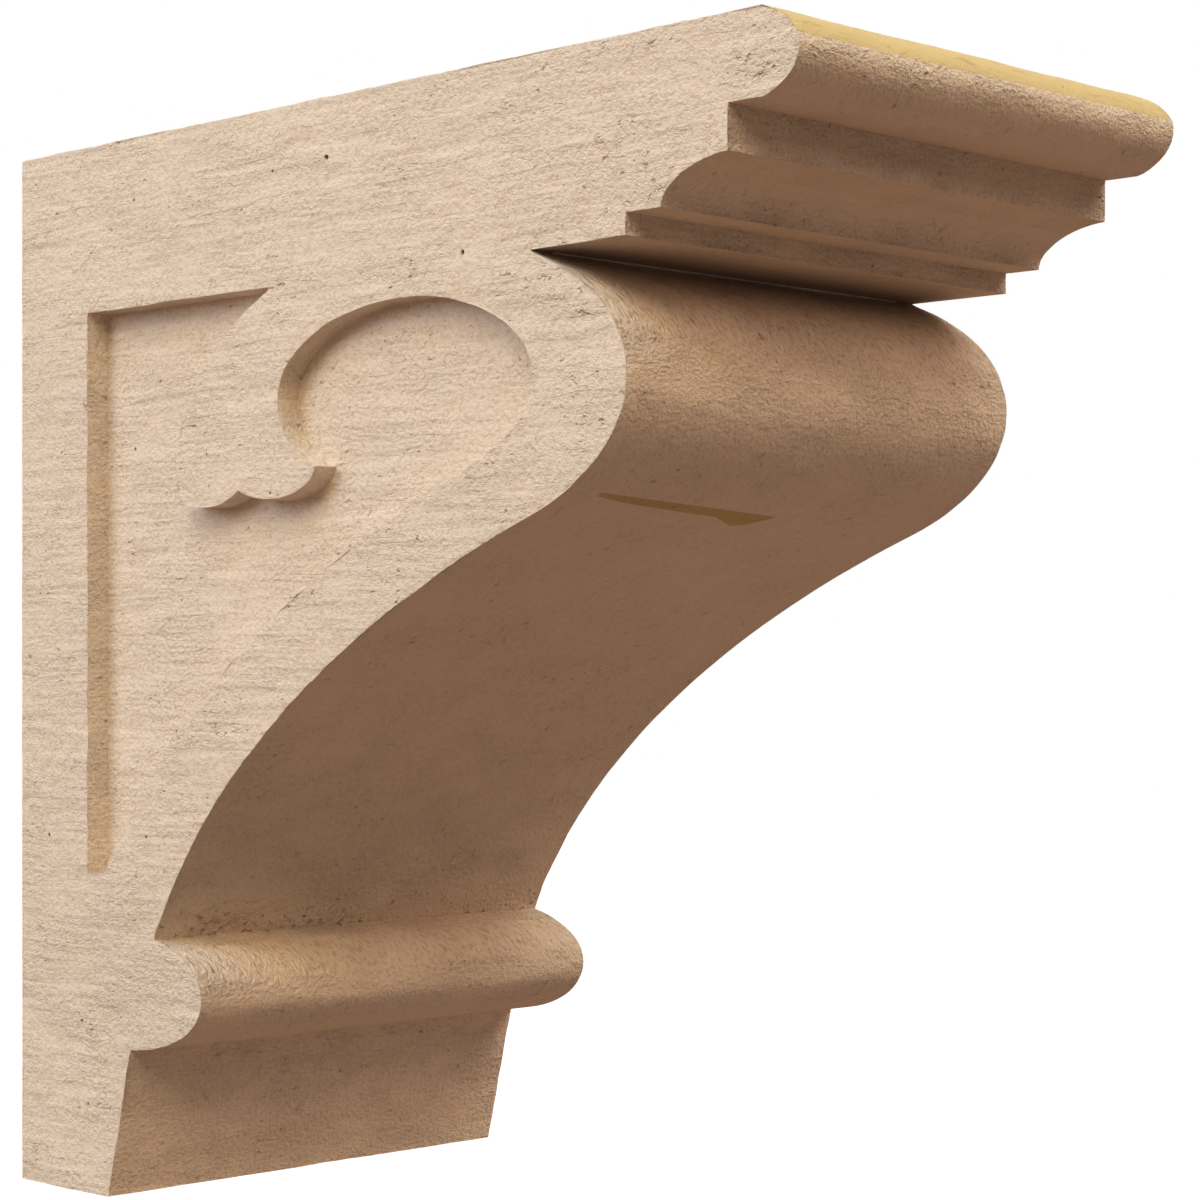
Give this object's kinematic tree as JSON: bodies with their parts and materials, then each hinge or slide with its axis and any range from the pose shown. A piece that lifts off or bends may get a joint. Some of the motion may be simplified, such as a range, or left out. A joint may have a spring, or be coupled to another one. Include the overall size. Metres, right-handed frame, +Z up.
{
  "type": "urethane corbel",
  "caption": "Scroll-fronted shelf corbel cast in primed rough-sawn urethane, with a moulded nose, a round bead over a tapered foot, and a sunk scroll panel in each side.",
  "frame": {"origin": "middle of the flat back face, where the corbel meets the wall", "axes": "+Y out of the back face into the wall, so the corbel projects towards -Y; +Z up towards the flat top that carries the load; X across the width, with the two sides alike"},
  "size_m": [0.1524, 0.3048, 0.3048],
  "materials": {
    "primed_urethane": "factory-primed tan urethane with a rough-sawn wood texture, matte"
  },
  "bodies": {
    "root": {"corbel": "primed_urethane"}
  },
  "joints": []
}
